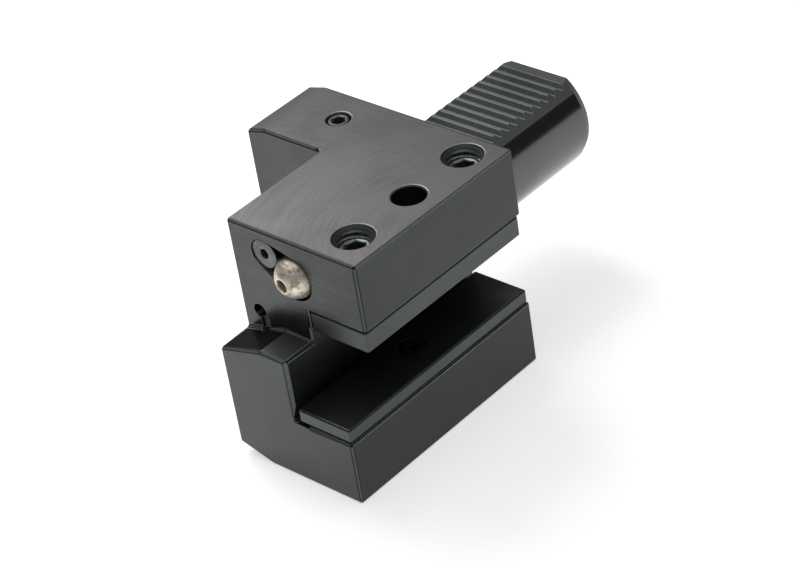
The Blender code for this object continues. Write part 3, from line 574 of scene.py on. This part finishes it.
# Painted shade: the sides darker low down, the fronts of the block and the jaw darker towards the
# right; the edges' painted highlight and wear fade out on the shank
for name, axis, start, end, share in (
        ("worn_edge_painted_highlight", "Y", 1.0, 3.0, 0.35), ("ground_side", "Z", 0.0, -24.0, 0.80),
        ("brushed_front", "X", 8.0, 42.0, 0.78), ("jaw_front", "X", 0.0, 42.0, 0.80)):
    fade(FINISH[name], axis, start, end, share)


# Pieces in the frame

def seat(piece, body_name, node, finish):
    """Gives a piece its finish and its body, and hides the part that it stands for."""
    piece.data.materials.clear()
    piece.data.materials.append(finish)
    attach(piece, body_name)
    if node:
        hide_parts(node)


def extent(node):
    """Middle, lowest and highest corner of a part, in millimetres, as arrays."""
    low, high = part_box(node)
    return np.array((low + high) / 2) / MM, np.array(low) / MM, np.array(high) / MM


def standing(node, direction):
    """A screw's top point, its length and its head's radius, from its part's box."""
    top, low, high = extent(node)
    axis = int(np.argmax(np.abs(direction)))
    top[axis] = high[axis] if direction[axis] > 0 else low[axis]
    across = 1 if axis == 0 else 0
    return top, high[axis] - low[axis], (high[across] - low[across]) / 2


# Body

def finish_faces(piece):
    """Gives each face of the holder's body its finish, from its normal and its middle, and a
    bevel weight to the edges of the broad edge breaks. A later rule goes over an earlier one.
    A normal's shares are to_x, to_y and to_z, and without their signs in_x, in_y and in_z."""
    mesh = piece.data
    count = len(mesh.polygons)
    normal = np.empty(count * 3, np.float32)
    middle = np.empty(count * 3, np.float32)
    mesh.polygons.foreach_get("normal", normal)
    mesh.polygons.foreach_get("center", middle)
    to_x, to_y, to_z = normal.reshape(-1, 3).T
    x, y, z = middle.reshape(-1, 3).T / MM
    in_x, in_y, in_z = np.abs(to_x), np.abs(to_y), np.abs(to_z)
    flat, steep = 0.99, 0.6
    names = list(FINISH)
    region = np.full(count, names.index("ground_side"))

    def paint(finish, where):
        region[where] = names.index(finish)

    # Block, flange and jaw
    paint("milled_top", (in_z > flat) & (z > TOP_FACE - 0.1))
    paint("brushed_front", (in_y > flat) & (to_y < 0) & (y < 0))
    paint("jaw_front", (in_y > flat) & (y < JAW_FRONT + 0.5))
    shelf = (y < BLOCK_FRONT) & (z < 0)
    paint("shelf_gloss", shelf & (to_z > 0.9))
    paint("shelf_flat", shelf & (to_z > flat) & (z > -5))
    before_shank = y < 0.1
    upright = np.minimum(in_x, in_y) > steep
    lengthwise = np.minimum(in_x, in_z) > steep
    crosswise = np.minimum(in_y, in_z) > steep
    paint("edge_break", before_shank & crosswise)
    # Upright edge breaks get the darker copy: painted shade.
    paint("edge_upright_painted_shade", before_shank & upright)
    paint("edge_soft", before_shank & lengthwise)
    # Painted shade on the flange's tilted slopes.
    paint("wing_slope_painted_shade", (to_z > 0.9) & (in_z < flat) & (z > 25))
    in_slot = (x > SLOT_WALL - SLOT_RELIEF - 0.1) & (z > SLOT_FLOOR - SLOT_RELIEF)
    in_slot &= (z < SLOT_CEILING + 0.1) & (y > JAW_FRONT + 0.2)
    paint("slot_gloss", in_slot & before_shank & (in_y < steep))

    # Shank: its teeth, the lead at its end, the strips beside the teeth, the step at its root
    off_axis = np.hypot(x, z)
    paint("shank_ground", y > 0.1)
    toothed = (y > TEETH_START) & (z > TOOTH_CREST_HEIGHT - 2.6) & (to_z > 0.3)
    toothed &= off_axis < SHANK_RADIUS - 0.2
    crests = toothed & (to_z > flat) & (z > TOOTH_CREST_HEIGHT - 0.1)
    # Painted shade on the flanks and painted highlight on the crests.
    paint("tooth_flank_painted_shade", toothed)
    paint("tooth_crest_painted_highlight", crests)
    paint("tooth_land", crests & (y > LAND_START))
    paint("edge_soft", (y > 60) & (to_y > 0.2) & (to_y < 0.6))
    strip = (off_axis < SHANK_RADIUS - 0.07) & (y > TEETH_START) & (y < TEETH_END) & (z > 6)
    paint("tooth_strip", strip & lengthwise)
    # The run-out wall at the teeth's root takes the flanks' darker, rougher finish: painted shade.
    paint("tooth_flank_painted_shade", (y > 3.5) & (y < 9.0) & (z > 13.0) & (to_y > 0.3))

    # Holes from above, the outlet's groove, the nozzle's pocket
    holes = [(CLAMP_X, place, CLAMP_HOLE) for place in CLAMP_Y.values()]
    holes += [(CLAMP_X, HANGER_Y, HANGER_HOLE), (*TOP_PLUG, PLUG_HOLE)]
    for hole_x, hole_y, radius in holes:
        near = np.hypot(x - hole_x, y - hole_y) < radius + 1.5
        paint("hole_cone", near & (to_z > 0.3) & (in_z < flat) & (z > TOP_FACE - 1.5))
        paint("bored", near & (in_z < 0.3) & (z > SLOT_CEILING) & (z < TOP_FACE - 0.3))
    groove = np.hypot(x - OUTLET_GROOVE_X, y - BLOCK_FRONT) < OUTLET_GROOVE + 0.1
    groove &= (z > -10) & (z < 3)
    paint("bored", groove & (in_y < 0.999))
    # Painted highlight: the groove's wall facing out and up gets the pale colour.
    paint("groove_painted_highlight", groove & (in_z < 0.5) & (to_y < 0) & (to_x > -0.5) & (to_x < 0.8))
    pocket = np.hypot(x - BALL_CENTRE[0], z - BALL_CENTRE[2]) < BALL_POCKET
    pocket |= np.hypot(x - NOZZLE_SCREW_X, z - NOZZLE_SCREW_Z) < SCREW_POCKET
    paint("bored", pocket & (y > BLOCK_FRONT + 0.4) & (y < POCKET_BACK))

    for finish in FINISH.values():
        mesh.materials.append(finish)
    mesh.polygons.foreach_set("material_index", region.astype(np.int32))
    broad = np.isin(region, [names.index("edge_break"), names.index("edge_upright_painted_shade")])
    loop_edge = np.empty(len(mesh.loops), np.int32)
    loop_count = np.empty(count, np.int32)
    mesh.loops.foreach_get("edge_index", loop_edge)
    mesh.polygons.foreach_get("loop_total", loop_count)
    weigh_edges(mesh, loop_edge[np.repeat(broad, loop_count)])


body = dressed_copy("holder_body", "holder_body_dressed")
finish_faces(body)
# The broad edge breaks' rounding takes the very dark colour: a painted shade line.
round_edges(body, "break_edges", BREAK_LINE, list(FINISH).index("edge_painted_shade_line"), "WEIGHT")
settle(body, "holder_body")
weigh_edges(body.data, outer_corners(body.data))
# The outer corners' rounding takes the lighter edge colour: wear and painted highlight.
round_edges(body, "edges", BODY_CORNER, list(FINISH).index("worn_edge_painted_highlight"), "WEIGHT")
settle(body, "holder_body")
flatten_faces(body)
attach(body, "holder")
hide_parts("holder_body")


# Clamp screws and their holes

def clamp_thread(name, y):
    """Threaded wall of a clamp hole, a closed tube: its outer wall lies in the solid, a cone is
    the countersink, and the inner wall is cut at the screw's own pitch, half a turn on, so that
    the two stay meshed. The thread fades out towards the cone."""
    outer, cone_wide, cone_narrow, fade_out = 6.35, 6.12, 5.62, 0.8
    minor = M12_CREST - M12_DEPTH + M12_GAP
    low, cone_low, cone_high = SLOT_CEILING + 0.5, TOP_FACE - 1.85, TOP_FACE - 0.78
    rows = [(outer, low), (outer, cone_high - 0.6), (cone_wide, cone_high), (cone_narrow, cone_low)]
    count = int((cone_low - low) / M12_PITCH * TURN_ROWS)
    height = np.linspace(cone_low - 0.1, low, count)
    share = np.minimum(1.0, (cone_low - height) / fade_out)
    rows += np.stack([minor + (1 - share) * 0.5, height, 0 * share, -share], axis=1).tolist()
    return lathe(name, rows, (CLAMP_X, y, 0), (0, 0, 1), 96, closed=True, pitch=M12_PITCH,
                 depth=M12_DEPTH, lift=M12_PITCH / 2, sharp=THREAD_SHARP)


def clamp_screw(name, y):
    """Set screw: dog point, thread to within a chamfer of the top, flat ring, hexagon socket."""
    low, high = BAR_TOP + 0.3, BAR_TOP + 20.3
    point, dog = low + 3.0, 4.2
    root = M12_CREST - M12_DEPTH
    rows = [(0, low), (dog - 0.4, low), (dog, low + 0.4), (dog, point - 0.3), (root - 0.5, point)]
    rows += thread_rows(M12_CREST, point + 0.5, high - 0.75, M12_PITCH)
    rows += [(root + 0.1, high - 0.15), (root - 0.15, high)]
    rows += socket_rows(6.0, high, 6.0, 0.3)
    return lathe(name, rows, (CLAMP_X, y, 0), (0, 0, 1), 96, turn=CLAMP_TURN, pitch=M12_PITCH,
                 depth=M12_DEPTH, sharp=THREAD_SHARP)


set_screw = black_oxide("set_screw", 0.14, 0.34, (1.2, 1.2, 0.3), 0.25, metallic=0.9)
for node, y in CLAMP_Y.items():
    seat(clamp_thread(node.replace("screw", "thread"), y), "holder", None,
         FINISH["thread_grey"])
    turn_body = "front_clamp_screw" if "front" in node else "rear_clamp_screw"
    seat(clamp_screw(node + "_threaded", y), turn_body, node, set_screw)


# Clamp bar and rest plate

seat(dressed_copy("clamp_bar", "clamp_bar_dressed", SMALL_CORNER), "sliding_clamp_bar", "clamp_bar",
     black_oxide("bar_ground", 0.086, 0.34, STRAIGHT_Y, 0.14))
seat(dressed_copy("rest_plate", "rest_plate_dressed", SMALL_CORNER), "holder", "rest_plate",
     black_oxide("plate_hardened", 0.085, 0.34, STRAIGHT_Y, 0.14, 0.006))


# Bar's retaining screw, washer and spring

def cap_screw():
    """Retaining screw: smooth round head with a rounded rim, thread on its last part."""
    _, low, high = extent("bar_retaining_screw")
    top, end = high[2], low[2]
    shaft, head, head_foot = 2.7, 5.0, top - 4.0
    rows = [(0, end), (shaft - 0.5, end), (shaft, end + 0.5)]
    rows += thread_rows(shaft, end + 0.6, BAR_TOP - 0.6, FINE_PITCH)
    rows += [(shaft, BAR_TOP), (shaft, head_foot - 0.2), (shaft + 0.05, head_foot),
             (head - 0.2, head_foot), (head, head_foot + 0.2), (head, top - 0.6),
             (head - 0.1, top - 0.3), (head - 0.4, top - 0.08), (head - 0.8, top)]
    rows += socket_rows(4.0, top, 2.4)
    return lathe("bar_retaining_screw_capped", rows, (CLAMP_X, HANGER_Y, 0), (0, 0, 1), 72,
                 turn=0.2, pitch=FINE_PITCH, depth=0.55, sharp=THREAD_SHARP)


def washer():
    """Flat washer with all four of its rims broken."""
    _, low, high = extent("spring_seat_washer")
    bore, outer, rim = 3.3, 5.1, 0.12
    rows = [(bore, low[2] + rim), (bore + rim, low[2]), (outer - rim, low[2]),
            (outer, low[2] + rim), (outer, high[2] - rim), (outer - rim, high[2]),
            (bore + rim, high[2]), (bore, high[2] - rim)]
    return lathe("spring_seat_washer_ring", rows, (CLAMP_X, HANGER_Y, 0), (0, 0, 1), 64,
                 closed=True)


def return_spring():
    """Coil spring: a helix whose rise is slow in the closed end turns and quick between them."""
    _, low, high = extent("bar_return_spring")
    wire, coil = 0.45, 4.2
    bottom, top = low[2] + wire, high[2] - wire
    turns = np.array([0, 0.75, 2.5, 3.25])
    closed = (2 * wire + 0.15) * turns[1]
    rise = np.array([bottom, bottom + closed, top - closed, top])
    turn = np.linspace(0, turns[-1], 150)
    path = np.stack([CLAMP_X + coil * np.cos(turn * 2 * math.pi),
                     HANGER_Y + coil * np.sin(turn * 2 * math.pi),
                     np.interp(turn, turns, rise)], axis=1)
    return tube("bar_return_spring_coil", path, wire)


seat(cap_screw(), "sliding_clamp_bar", "bar_retaining_screw",
     black_oxide("cap_screw", 0.10, 0.36, metallic=0.9))
seat(washer(), "sliding_clamp_bar", "spring_seat_washer",
     plain_metal("zinc_plate", (0.45, 0.45, 0.43), 0.34))

spring = return_spring()
spring.data.materials.append(plain_metal("spring_wire", (0.30, 0.30, 0.30), 0.3))
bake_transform(spring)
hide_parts("bar_return_spring")


# Rest plate's screw and pins

def countersunk(name, node, direction, columns=60):
    """Countersunk screw with its top on its part's box: cone head, shaft, thread and socket."""
    top, length, head = standing(node, direction)
    shaft, flats, socket_depth = 2.2, 3.0, 1.8
    cone_foot = -(head - shaft)
    rows = [(0, -length), (shaft - 0.4, -length), (shaft, -length + 0.4)]
    rows += thread_rows(shaft, -length + 0.5, cone_foot - 1.2, SUNK_PITCH)
    rows += [(shaft, cone_foot - 0.4), (head - 0.08, -0.38), (head, -0.3), (head, -0.08),
             (head - 0.1, 0)]
    rows += socket_rows(flats, 0, socket_depth, 0.15)
    return lathe(name, rows, top, direction, columns, turn=0.3, pitch=SUNK_PITCH, depth=0.4,
                 sharp=THREAD_SHARP)


def pin(node):
    """Dowel pin with a chamfered foot and a rounded top."""
    middle, low, high = extent(node)
    radius, foot, top = (high[0] - low[0]) / 2, low[2], high[2]
    rows = [(0, foot), (radius - 0.5, foot), (radius - 0.05, foot + 0.5),
            (radius - 0.05, top - 0.4), (radius - 0.15, top - 0.15), (radius - 0.4, top - 0.03),
            (0, top)]
    return lathe(node + "_ground", rows, (middle[0], middle[1], 0), (0, 0, 1), 48)


seat(countersunk("rest_plate_screw_sunk", "rest_plate_screw", (0, 0, 1)), "holder",
     "rest_plate_screw", black_oxide("plate_screw", 0.05, 0.36, metallic=0.9))
pin_steel = plain_metal("ground_pin", (0.50, 0.50, 0.48), 0.24)
for node in ("rest_plate_pin_front", "rest_plate_pin_rear"):
    seat(pin(node), "holder", node, pin_steel)


# Coolant nozzle

def nozzle_ball():
    """Drilled ball: a sphere flattened round its jet, with the jet's small lead-in."""
    flat, back_flat = 2.75, 3.2
    front = math.asin(flat / BALL_RADIUS)
    back = math.pi - math.asin(back_flat / BALL_RADIUS)
    face = BALL_RADIUS * math.cos(front)
    rows = [(JET_RADIUS, face - 0.35), (JET_RADIUS + 0.12, face - 0.1), (JET_RADIUS + 0.3, face),
            (flat - 0.09, face)]
    rows += [(BALL_RADIUS * math.sin(a), BALL_RADIUS * math.cos(a))
             for a in np.linspace(front, back, 56)]
    rows += [(JET_RADIUS, BALL_RADIUS * math.cos(back) + back_flat - JET_RADIUS)]
    return lathe("nozzle_ball_drilled", rows, BALL_CENTRE, BALL_AIM, 96, closed=True, sharp=25)


def seal_ring():
    """Ring behind the ball, with the ball's own hollow in its front and a bore through it."""
    _, low, high = extent("nozzle_seal_ring")
    hollow, bore, outer = BALL_RADIUS + 0.3, 4.0, (high[0] - low[0]) / 2
    front, back = low[1] - BALL_CENTRE[1], high[1] - BALL_CENTRE[1]
    rows = [(outer - 0.1, -front), (outer, -front - 0.1), (outer, -back + 0.2),
            (outer - 0.2, -back), (bore, -back)]
    rows += [(hollow * math.cos(a), -hollow * math.sin(a))
             for a in np.linspace(math.acos(bore / hollow), math.asin(front / hollow), 18)]
    return lathe("nozzle_seal_ring_hollowed", rows, BALL_CENTRE, (0, -1, 0), 72, closed=True)


seat(nozzle_ball(), "nozzle", "nozzle_ball",
     plain_metal("ball_steel", (0.80, 0.74, 0.64), 0.50, (0.12, 1.3, 1.0), (0.40, 0.31, 0.21)))
seat(seal_ring(), "nozzle_seat", "nozzle_seal_ring",
     moulded("seat_plastic", (0.42, 0.40, 0.36), 0.45))
seat(countersunk("nozzle_clamp_screw_sunk", "nozzle_clamp_screw", (0, -1, 0), 72),
     "nozzle_screw", "nozzle_clamp_screw",
     black_oxide("nozzle_screw_face", 0.130, 0.34, None, 0.60, 0.02, tint=WARM))


# Coolant plugs and the shank's seal

def coolant_plug(node, direction):
    """Socket plug with its top on its part's box, threaded round its side."""
    top, length, _ = standing(node, direction)
    rows = [(0, -length), (3.0, -length), (3.5, -length + 0.5)]
    rows += thread_rows(3.68, -length + 0.6, -0.6, FINE_PITCH)
    rows += [(3.3, -0.12), (3.15, 0)]
    rows += socket_rows(4.0, 0, 4.0, 0.2)
    return lathe(node + "_socketed", rows, top, direction, 72, turn=0.25, pitch=FINE_PITCH,
                 depth=0.45, sharp=THREAD_SHARP)


def seal_cord():
    """O-ring round the shank's root: a circle carried round the shank's axis."""
    middle, low, high = extent("shank_seal_ring")
    cord = (high[1] - low[1]) / 2
    reach = (high[0] - low[0]) / 2 - cord
    angle = np.linspace(0, 2 * math.pi, 24, endpoint=False)
    rows = [(reach + cord * math.cos(a), cord * math.sin(a)) for a in angle]
    return lathe("shank_seal_ring_cord", rows, (0, middle[1], 0), (0, 1, 0), 128, closed=True)


plug_black = black_oxide("plug_black", 0.11, 0.46, None, 0.22, metallic=0.7)
for node, direction in (("coolant_plug_top", (0, 0, 1)), ("coolant_plug_side_upper", (-1, 0, 0)),
                        ("coolant_plug_side_lower", (-1, 0, 0))):
    seat(coolant_plug(node, direction), "holder", node, plug_black)
seat(seal_cord(), "holder", "shank_seal_ring",
     moulded("seal_rubber_black", (0.020, 0.020, 0.020), 0.55))


# Floor, light and camera

def floor_material():
    """Pale floor that keeps the shadow, lifted towards white for camera, gloss and glass."""
    material, tree, surface = tree_of("studio_floor")
    surface.inputs["Base Color"].default_value = (0.74, 0.74, 0.74, 1)
    surface.inputs["Roughness"].default_value = 0.9
    surface.inputs["Specular IOR Level"].default_value = 0.1
    surface.inputs["Emission Color"].default_value = (1, 1, 1, 1)
    path = add(tree, "ShaderNodeLightPath")
    seen = calc(tree, "MAXIMUM", path.outputs["Is Camera Ray"],
                calc(tree, "MAXIMUM", path.outputs["Is Glossy Ray"],
                     path.outputs["Is Transmission Ray"]))
    tree.links.new(calc(tree, "MULTIPLY", seen, 0.58), surface.inputs["Emission Strength"])
    return material


def floor():
    """Square floor under the jaw, three metres to each side."""
    half, level = 3000 * MM, FLOOR_Z * MM
    mesh = bpy.data.meshes.new("studio_floor")
    mesh.from_pydata([(-half, -half, level), (half, -half, level), (half, half, level),
                      (-half, half, level)], [], [(0, 1, 2, 3)])
    mesh.materials.append(floor_material())
    return linked("studio_floor", mesh)


def air():
    """World that is dark at the horizon and light overhead."""
    world = bpy.data.worlds.new("studio_air")
    bpy.context.scene.world = world
    world.use_nodes = True
    tree = world.node_tree
    up = add(tree, "ShaderNodeSeparateXYZ",
             {"Vector": add(tree, "ShaderNodeTexCoord").outputs["Generated"]}).outputs["Z"]
    levels = ((0.0, 0.03), (0.30, 0.04), (0.40, 0.06), (0.62, 0.08), (0.88, 0.95))
    sky = ramp(tree, up, [(height, (level,) * 3) for height, level in levels])
    tree.links.new(sky, tree.nodes["Background"].inputs["Color"])


def panel():
    """Square lamp, in millimetres and watts, high at the back left of the holder."""
    place, aim = Vector((-560, 130, 700)) * MM, Vector((0, -20, 0)) * MM
    lamp = bpy.data.lights.new("back_left_panel", "AREA")
    lamp.shape = "SQUARE"
    lamp.size = 480 * MM
    lamp.energy = 4.6
    turn = (aim - place).to_track_quat("-Z", "Y").to_matrix().to_4x4()
    linked("back_left_panel", lamp).matrix_world = Matrix.Translation(place) @ turn


def camera():
    """Camera at the place and angle that the photo was fitted with."""
    lens = bpy.data.cameras.new("photo_camera")
    lens.sensor_width = SENSOR
    lens.lens = LENS
    lens.clip_start, lens.clip_end = NEAR * MM, FAR * MM
    back = Vector(RIGHT).cross(Vector(UPWARD))
    axes = Matrix((RIGHT, UPWARD, back)).transposed().to_4x4()
    seen_from = linked("photo_camera", lens)
    seen_from.matrix_world = Matrix.Translation(Vector(EYE) * MM) @ axes
    bpy.context.scene.camera = seen_from


floor()
air()
panel()
camera()
bpy.context.scene.view_settings.view_transform = "Standard"
